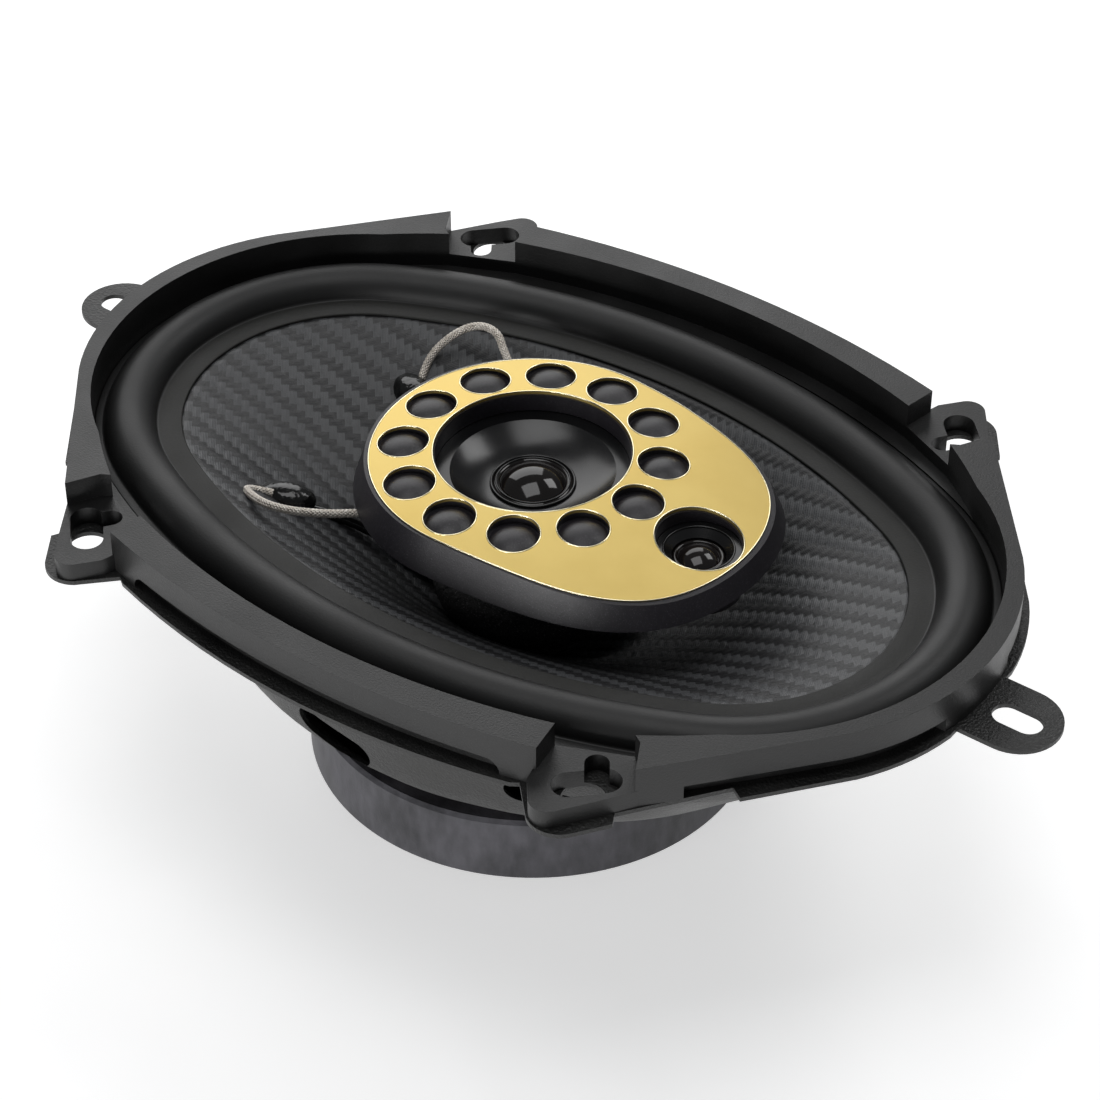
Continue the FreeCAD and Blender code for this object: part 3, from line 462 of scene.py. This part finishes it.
REAR_LEAD_ROUTE = (
    (-0.0910, 0.0080, -0.0130), (-0.0846, 0.0082, -0.0134), (-0.0780, 0.0096, -0.0154),
    (-0.0710, 0.0126, -0.0182), (-0.0636, 0.0168, -0.0196), (-0.0570, 0.0206, -0.0182),
    (-0.0528, 0.0228, -0.0146), (-0.0516, 0.0234, -0.0106))
STRANDS = 7                  # strands of the braid in each direction
BRAID_R = 0.69               # mm, centre of the strands
BRAID_WAVE = 0.09            # how far a strand rises and dips as it crosses the others
STRAND_R = 0.20
STRAND_SIDES = 5
BRAID_LAY = 6.2              # mm of lead for one turn of a strand
CORE_R = BRAID_R - 0.08
CORE_SIDES = 10
RING_STEP = 0.00018          # metres between the rings of a lead's mesh
BEND_START = 0.12            # share of the lead before its blend weight starts to rise
BEND_SPAN = 0.68             # share over which that weight rises to one


def nurbs_line(route):
    """Points along the route's NURBS spline, in metres."""
    curve = bpy.data.curves.new("route", "CURVE")
    curve.dimensions = "3D"
    curve.resolution_u = 24
    spline = curve.splines.new("NURBS")
    spline.points.add(len(route) - 1)
    for point, place in zip(spline.points, route):
        point.co = (*place, 1.0)
    spline.order_u = 3
    spline.use_endpoint_u = True
    obj = bpy.data.objects.new("route", curve)
    scene.collection.objects.link(obj)
    bpy.context.view_layer.update()
    mesh = bpy.data.meshes.new_from_object(obj)
    line = np.array([v.co for v in mesh.vertices], float)
    bpy.data.objects.remove(obj)
    bpy.data.curves.remove(curve)
    bpy.data.meshes.remove(mesh)
    return line


def along_line(line, step):
    """The line's points at even steps, with a frame that doesn't twist."""
    gaps = np.linalg.norm(np.diff(line, axis=0), axis=1)
    keep = np.r_[True, gaps > 1e-9]
    line = line[keep]
    reach = np.r_[0, np.cumsum(np.linalg.norm(np.diff(line, axis=0), axis=1))]
    count = int(reach[-1] / step) + 1
    places = np.linspace(0, reach[-1], count)
    points = np.stack([np.interp(places, reach, line[:, k]) for k in range(3)], axis=1)
    tangents = np.gradient(points, axis=0)
    tangents /= np.linalg.norm(tangents, axis=1)[:, None]
    side = np.cross(tangents[0], (0, 0, 1.0))
    sides = []
    for t in tangents:
        side = side - t * (side @ t)
        side /= np.linalg.norm(side)
        sides.append(side)
    sides = np.array(sides)
    return points, sides, np.cross(tangents, sides), places


def tube_rows(centres, side, up, radius, count):
    """Rings of points round a line of centres."""
    rows = []
    for k in range(count):
        angle = 2 * math.pi * k / count
        rows.append(centres + radius * (math.cos(angle) * side + math.sin(angle) * up))
    return np.stack(rows, axis=1).reshape(-1, 3)


def tube_faces(rings, count, first):
    """Faces of a tube with both ends capped."""
    faces = grid_faces(rings, count, first)
    faces.append(tuple(first + k for k in range(count)))
    faces.append(tuple(first + (rings - 1) * count + k for k in reversed(range(count))))
    return faces


def make_lead(name, node, route):
    """A braided tinsel lead: a core and two families of crossing strands."""
    line = nurbs_line(route)
    points, side, up, places = along_line(line, RING_STEP)
    rings = len(points)
    verts = [tube_rows(points, side, up, CORE_R * MM, CORE_SIDES)]
    faces = tube_faces(rings, CORE_SIDES, 0)
    core_faces = len(faces)
    reach = [np.repeat(places, CORE_SIDES)]
    total = rings * CORE_SIDES
    turn = 2 * math.pi * places / (BRAID_LAY * MM)
    for way in (1, -1):
        radius = (BRAID_R + way * BRAID_WAVE * np.cos(STRANDS * turn)) * MM
        for k in range(STRANDS):
            angle = way * turn + 2 * math.pi * k / STRANDS
            out = np.cos(angle)[:, None] * side + np.sin(angle)[:, None] * up
            centres = points + radius[:, None] * out
            ahead = np.gradient(centres, axis=0)
            ahead /= np.linalg.norm(ahead, axis=1)[:, None]
            verts.append(tube_rows(centres, np.cross(ahead, out), out, STRAND_R * MM,
                                   STRAND_SIDES))
            faces += tube_faces(rings, STRAND_SIDES, total)
            reach.append(np.repeat(places, STRAND_SIDES))
            total += rings * STRAND_SIDES
    obj = add_mesh(name, np.concatenate(verts) / MM, faces, ("tinsel_braid", "braid_core"))
    set_second_material(obj, 0, core_faces)
    length = float(places[-1])
    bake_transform(obj)
    share = np.concatenate(reach) / length
    set_blend(obj, "tinsel_braid", smooth_step((share - BEND_START) / BEND_SPAN), node)


def make_leads():
    make_lead("near_lead", "front_lead_near", NEAR_LEAD_ROUTE)
    make_lead("far_lead", "front_lead_far", FAR_LEAD_ROUTE)
    make_lead("rear_lead_a", "rear_lead_positive", REAR_LEAD_ROUTE)
    mirrored = tuple((x, -y, z) for x, y, z in REAR_LEAD_ROUTE)
    make_lead("rear_lead_b", "rear_lead_negative", mirrored)


# ------------------------------------------------------------------ cone
def cone_surface(stations, shares, grow=0.0):
    """Points of the cone's face: one cubic through its four sections, neck to edge."""
    sections = []
    for z, spread, end_r in CONE_SECTIONS:
        xy = oval_points(stations, spread, end_r + grow)
        sections.append(np.c_[xy, np.full(len(xy), z)])
    sections = np.array(sections)
    gaps = np.linalg.norm(np.diff(sections, axis=0), axis=2).mean(axis=1)
    knots = np.r_[0, np.cumsum(gaps)] / gaps.sum()
    rows = []
    for share in shares:
        total = 0.0
        for i, section in enumerate(sections):
            weight = 1.0
            for j, knot in enumerate(knots):
                if j != i:
                    weight *= (share - knot) / (knots[i] - knot)
            total = total + weight * section
        rows.append(total)
    return np.array(rows)


def twill_height(x, y):
    """Relief of the embossed twill in mm: tows two cells long, rounded across."""
    rising = 2 * y / WALE_PITCH + x / TOOTH_PITCH
    falling = 2 * y / WALE_PITCH - x / TOOTH_PITCH
    in_rising = rising - np.floor(rising)
    in_falling = falling - np.floor(falling)
    cell = np.mod(np.floor(rising) + np.floor(falling), 4)
    first = cell < 2
    across = np.where(first, in_rising, in_falling)
    along = np.where(first, cell + in_falling, cell - 2 + in_rising) / 2
    crown = np.sqrt(np.clip(np.sin(math.pi * across), 0, 1))
    ends = np.clip(np.sin(math.pi * along), 0, 1) ** 0.4
    return TWILL_DEPTH * crown * ends


def make_cone():
    """Woven face, flat rim under the surround's lip, plain back and short neck, in rings."""
    stations = station_angles(CONE_END_STATIONS, CONE_SIDE_STATIONS)
    count = len(stations)
    shares = np.linspace(0, 1, CONE_ROWS)
    face = cone_surface(stations, shares)
    relief = twill_height(face[..., 0], face[..., 1])
    edge_fade = 0.02
    neck_fade = 0.05
    fade = smooth_step((1 - shares) / edge_fade) * smooth_step(shares / neck_fade)
    face[..., 2] += relief * fade[:, None]
    rings = [face]
    for offset, z in ((CONE_EDGE_IN + 0.05, 0.86), (-7.5, 0.86), (-7.5, 0.4), (-11.2, 0.4)):
        xy = oval_points(stations, 1.0, ROLL_END_R + offset)
        rings.append(np.c_[xy, np.full(count, z)][None])
    rings.append(cone_surface(stations, np.linspace(1, 0, CONE_BACK_ROWS)[1:], CONE_SKIN))
    turn = stations[:, 3:5]
    for radius, z in ((NECK_BORE_R + 1.2, -32.6), (NECK_BORE_R, -32.6), (NECK_BORE_R, -31.1)):
        rings.append(np.c_[turn * radius, np.full(count, z)][None])
    grid = np.concatenate(rings)
    faces = grid_faces(len(grid), count, close_rows=True)
    obj = add_mesh("woven_cone", grid.reshape(-1, 3), faces, ("woven_cone", "cone_back"))
    set_second_material(obj, CONE_ROWS * count)
    dress(obj, "woven_cone", "cone_assembly", "cone")


# ------------------------------------------------------------------ surround
def make_surround():
    """Rubber edge: a lip glued on the cone, a half roll and a foot glued on the basket."""
    wall = 0.6
    crest_in = -0.7
    crest_z = 6.5
    roll_out = 4.4           # the roll's underside, from its outer foot
    roll_in = -6.0           # to its inner one
    lip = [(CONE_EDGE_IN, 0.9), (CONE_EDGE_IN, 1.25), (-11.9, 1.43), (-11.65, 1.5),
           (-9.0, 1.52), (-6.9, 1.55)]
    roll = arc_points((-6.5, 1.6), (crest_in, crest_z), (4.85, 1.6), 30)
    foot = [(5.3, 1.6), (6.5, 1.6), (6.8, 1.5), (6.8, 1.0), (roll_out, 1.0)]
    under = arc_points((roll_out, 1.0), (crest_in, crest_z - wall), (roll_in, 0.9), 24)[1:]
    profile = lip + roll + foot + under
    obj = oval_sweep("surround_roll", profile, ("surround_rubber", "lip_rubber"))
    columns = 2 * (END_STATIONS + SIDE_STATIONS)
    set_second_material(obj, 0, (len(lip) - 1) * columns)
    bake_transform(obj)
    offsets = np.repeat([offset for offset, z in profile], columns)
    share = (roll_out - offsets) / (roll_out - roll_in)
    set_blend(obj, "surround_rubber", smooth_step(share), "surround")


# ------------------------------------------------------------------ spider
def make_spider():
    """Corrugated cloth disc from the former out to a stepped foot on the basket."""
    cloth = 0.5
    wave_in = 16.0
    wave_out = 36.0
    foot_r = 39.0
    wave_pitch = 3.25
    wave_height = 0.9
    wave_z = -34.3
    radii = np.linspace(wave_in, wave_out, 97)
    wave = wave_z + wave_height * np.cos(2 * math.pi * (radii - wave_in) / wave_pitch)
    upper = [(NECK_BORE_R, -33.4), (15.4, -33.5)] + list(zip(radii, wave))
    upper += [(36.6, -34.4), (37.4, -37.0), (38.2, -40.2), (foot_r, -40.45), (43.0, -40.45)]
    lower = []
    for radius, z in reversed(upper):
        step_in = 0.12 if wave_out < radius < foot_r else 0.0
        lower.append((radius - step_in, z - cloth))
    profile = upper + lower
    obj = turned("spider_cloth", profile, "spider_cloth")
    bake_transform(obj)
    radius = np.repeat([radius for radius, z in profile], TURNED_STEPS)
    bend_out = 36.5
    bend_span = 20.5
    set_blend(obj, "spider_cloth", smooth_step((bend_out - radius) / bend_span), "spider")


# ------------------------------------------------------------------ dust ring
def make_dust_ring():
    """Foam ring round the post, its skin roughened by open pores."""
    bore_r = 9.0
    low_z = -27.3
    low_r = 16.6
    top_z = -17.5
    slope = 4.3              # the sloping side's reach, both out and up
    middle_r = 15.0          # a point inside the foam, which the pores sink towards
    middle_z = -22.0
    pore_depth = 0.28
    profile = [(bore_r, low_z), (low_r, low_z)]
    profile += [(low_r + slope * share, low_z + slope * share)
                for share in np.linspace(0.1, 1, 9)]
    profile += arc_points((21.5, -21.0), (20.8, -18.3), (18.6, top_z), 12)
    profile += [(radius, top_z) for radius in np.linspace(18.2, bore_r, 24)]
    profile += [(bore_r, z) for z in np.linspace(-17.9, -26.9, 12)]
    obj = turned("dust_ring_foam", profile, "foam", 300)
    points = coordinates(obj)
    random = np.random.default_rng(7)
    pores = random.uniform(-pore_depth, 0.0, len(points))
    outward = points.copy()
    outward[:, 2] -= middle_z
    radius = np.maximum(np.hypot(points[:, 0], points[:, 1]), 1)[:, None]
    outward[:, :2] *= 1 - middle_r / radius
    outward /= np.linalg.norm(outward, axis=1)[:, None]
    points += outward * pores[:, None]
    obj.data.vertices.foreach_set("co", (points * MM).astype(np.float32).ravel())
    obj.data.update()
    dress(obj, "foam", "cone_assembly", "dust_ring")


# ------------------------------------------------------------------ pieces from CAD shapes
FLAT_ANGLE = math.radians(0.4)       # faces this close to flat are joined before the bevel
BEVEL_ANGLE = math.radians(32)
SHARP_ANGLE = math.radians(40)       # edges sharper than this carry a bead


def softened(name, node, slot, width, segments):
    """The node's own shape with its sharp edges rounded over, on the frame."""
    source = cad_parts[node]
    mesh = source.data.copy()
    mesh.materials.clear()
    mesh.materials.append(MATERIALS[slot])
    obj = bpy.data.objects.new(name, mesh)
    scene.collection.objects.link(obj)
    obj.matrix_world = source.matrix_world.copy()
    shape = bmesh.new()
    shape.from_mesh(mesh)
    bmesh.ops.remove_doubles(shape, verts=shape.verts, dist=WELD)
    bmesh.ops.dissolve_limit(shape, angle_limit=FLAT_ANGLE, verts=shape.verts, edges=shape.edges)
    for face in shape.faces:
        face.smooth = True
        face.material_index = 0
    shape.to_mesh(mesh)
    shape.free()
    if "custom_normal" in mesh.attributes:
        mesh.attributes.remove(mesh.attributes["custom_normal"])
    bevel = obj.modifiers.new("bevel", "BEVEL")
    bevel.limit_method = "ANGLE"
    bevel.angle_limit = BEVEL_ANGLE
    bevel.width = width * MM
    bevel.segments = segments
    bevel.harden_normals = True
    bevel.use_clamp_overlap = True
    dress(obj, slot, "frame", node)


def upper_edge_loops(node):
    """Closed lines of points, in mm, along the sharp edges of the node's upper face."""
    shape = bmesh.new()
    shape.from_mesh(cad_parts[node].data)
    bmesh.ops.remove_doubles(shape, verts=shape.verts, dist=WELD)
    shape.normal_update()
    edges = [e for e in shape.edges if len(e.link_faces) == 2
             and e.calc_face_angle(0.0) > SHARP_ANGLE
             and max(f.normal.z for f in e.link_faces) > 0.8]
    links = {}
    for e in edges:
        for a, b in ((e.verts[0], e.verts[1]), (e.verts[1], e.verts[0])):
            links.setdefault(a.index, []).append(b.index)
    places = {v.index: np.array(v.co) / MM for v in shape.verts}
    shape.free()
    loops = []
    seen = set()
    for start in sorted(links):
        if start in seen or len(links[start]) != 2:
            continue
        loop = []
        here = start
        while here is not None:
            seen.add(here)
            loop.append(here)
            unseen = [k for k in links[here] if k not in seen and len(links[k]) == 2]
            here = unseen[0] if unseen else None
        if len(loop) >= 8:
            loops.append(np.array([places[k] for k in loop]))
    return loops


def edge_beads(name, node, radius, material, slot):
    """A thin bead along every sharp edge of the node's upper face, on the frame."""
    sides = 8
    sink = 0.4               # share of the bead's radius that lies below the edge
    verts = []
    faces = []
    total = 0
    for line in upper_edge_loops(node):
        ahead = np.roll(line, -1, axis=0) - np.roll(line, 1, axis=0)
        ahead /= np.linalg.norm(ahead, axis=1)[:, None]
        side = np.cross(ahead, (0, 0, 1.0))
        up = np.cross(side, ahead)
        verts.append(tube_rows(line - up * radius * sink, side, up, radius, sides))
        faces += grid_faces(len(line), sides, total, close_rows=True)
        total += len(line) * sides
    obj = add_mesh(name, np.concatenate(verts), faces, material)
    dress(obj, slot, "frame")


def head_place(x):
    """Plan point at x along the head's middle line, which the twist turns."""
    return x * math.cos(HEAD_TWIST), x * math.sin(HEAD_TWIST)


def bead_ring(name, x, ring_r, z, radius, slot, body):
    """A thin turned ring, its centre at x along the head."""
    angles = np.linspace(0, 2 * math.pi, 10, endpoint=False)
    profile = [(ring_r + radius * math.cos(a), z + radius * math.sin(a)) for a in angles]
    obj = turned(name, profile, slot, 128, *head_place(x))
    dress(obj, slot, body)


def dome_roll(name, node, inner, outer, z, x):
    """The half-roll that carries a small dome."""
    film = 0.13
    crest = z + 0.5
    mid = (inner + outer) / 2
    profile = [(inner - 0.05, z)]
    profile += arc_points((inner, z + film), (mid, crest), (outer, z + film), 12)
    profile += [(outer + 0.05, z)]
    profile += arc_points((outer - 0.1, z), (mid, crest - film), (inner + 0.1, z), 12)
    obj = turned(name, profile, "dome_film", TURNED_STEPS, *head_place(x))
    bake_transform(obj)
    radius = np.repeat([radius for radius, z in profile], TURNED_STEPS)
    set_blend(obj, "dome_film", smooth_step((outer - radius) / (outer - inner)), node)


# ------------------------------------------------------------------ CAD nodes kept as they are
NODE_SLOTS = {
    "voice_coil_former": "coil_former", "voice_coil_winding": "coil_wire",
    "top_plate": "plated_steel", "ferrite_magnet": "ferrite", "t_yoke": "plated_steel",
    "basket_rivets": "rivet_steel", "tweeter_post": "post_metal", "post_nut": "rivet_steel",
    "terminal_block": "terminal_plastic", "terminal_positive": "terminal_metal",
    "terminal_negative": "terminal_metal", "lead_glue_near": "adhesive",
    "lead_glue_far": "adhesive", "tweeter_back_cover": "bezel_plastic",
    "cover_screws": "rivet_steel", "mid_dish": "dish_gloss", "mid_dome": "dome_film",
    "mid_voice_coil": "coil_wire", "mid_top_ring": "plated_steel",
    "mid_pole_cap": "plated_steel", "mid_magnet": "neodymium", "mid_yoke_cup": "plated_steel",
    "super_dish": "dish_gloss", "super_dome": "dome_film", "super_voice_coil": "coil_wire",
    "super_top_ring": "plated_steel", "super_pole_cap": "plated_steel",
    "super_magnet": "neodymium", "super_yoke_cup": "plated_steel",
    "gold_trim_plate": "gold_metal",
    "mid_capacitor": "capacitor_sleeve", "super_capacitor": "capacitor_sleeve",
}


def finish_nodes():
    """Every CAD node that still shows gets its slot's procedural finish."""
    for name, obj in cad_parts.items():
        if name in NODE_SLOTS:
            for holder in obj.material_slots:
                holder.material = MATERIALS[NODE_SLOTS[name]]


# ------------------------------------------------------------------ studio
def area_light(name, place, width, height, power):
    """A white soft box aimed at the origin, unseen by the camera itself."""
    data = bpy.data.lights.new(name, "AREA")
    data.shape = "RECTANGLE"
    data.size = width
    data.size_y = height
    data.energy = power
    light = bpy.data.objects.new(name, data)
    scene.collection.objects.link(light)
    light.location = place
    light.rotation_euler = (-Vector(place)).to_track_quat("-Z", "Y").to_euler()
    light.visible_camera = False


def floor_material():
    mat = finish_material("floor_paper", (0.86, 0.86, 0.86), (0.88, 0.88, 0.88), (0.8, 0.9),
                          2.0, 0.0)
    shader = mat.node_tree.nodes["Principled BSDF"]
    shader.inputs["Emission Color"].default_value = (1.0, 1.0, 1.0, 1.0)
    shader.inputs["Emission Strength"].default_value = 0.52
    shader.inputs["Specular IOR Level"].default_value = 0.0
    return mat


def make_studio():
    """White floor, soft boxes and a dim even sky."""
    reach = 4000.0
    z = FLOOR_Z - FLOOR_GAP
    corners = [(-reach, -reach, z), (reach, -reach, z), (reach, reach, z), (-reach, reach, z)]
    floor = add_mesh("floor", corners, [(0, 1, 2, 3)], "floor_paper", smooth=False)
    # behind the speaker, where its level faces mirror it to the camera
    area_light("back_box", (-0.86, 0.76, 0.72), 1.15, 0.85, 6.4)
    # low and long, behind and in front, for the walls and the roll
    area_light("back_sweep", (-0.75, 1.25, 0.14), 1.9, 0.34, 2.2)
    area_light("front_sweep", (-0.05, -1.35, 0.10), 1.0, 0.36, 12.0)
    area_light("top_box", (-0.06, -0.08, 1.3), 0.75, 0.75, 4.6)
    area_light("back_right_box", (0.24, 0.85, 0.98), 0.5, 0.42, 2.6)
    world = bpy.data.worlds.new("studio")
    world.use_nodes = True
    sky = world.node_tree.nodes["Background"]
    sky.inputs["Color"].default_value = (0.95, 0.97, 1.0, 1.0)
    sky.inputs["Strength"].default_value = 0.14
    scene.world = world
    scene.view_settings.view_transform = "Standard"


# ------------------------------------------------------------------ the whole scene
make_camera()
make_leads()
MATERIALS["floor_paper"] = floor_material()
make_studio()
make_cone()
make_surround()
make_spider()
softened("basket_shell", "basket", "powder_coat", 0.25, 2)
softened("trim_ring", "gasket_trim", "trim_rubber", 0.55, 3)
softened("head_bezel", "tweeter_bezel", "bezel_plastic", 0.3, 3)
edge_beads("gold_plate_edges", "gold_trim_plate", 0.16, "gold_edge", "gold_metal")
dome_roll("mid_roll", "mid_dome_surround", 7.0, 8.4, 4.5, 0.0)
dome_roll("super_roll", "super_dome_surround", 4.4, 5.4, 5.5, SUPER_X)
bead_ring("mid_dish_ring", 0.0, 8.75, 4.8, 0.3, "dish_gloss", "frame")
bead_ring("mid_dish_inner_ring", 0.0, 7.75, 5.05, 0.22, "dish_gloss", "mid_diaphragm")
bead_ring("super_dish_ring", SUPER_X, 7.25, 7.75, 0.25, "dish_gloss", "frame")
make_dust_ring()
finish_nodes()
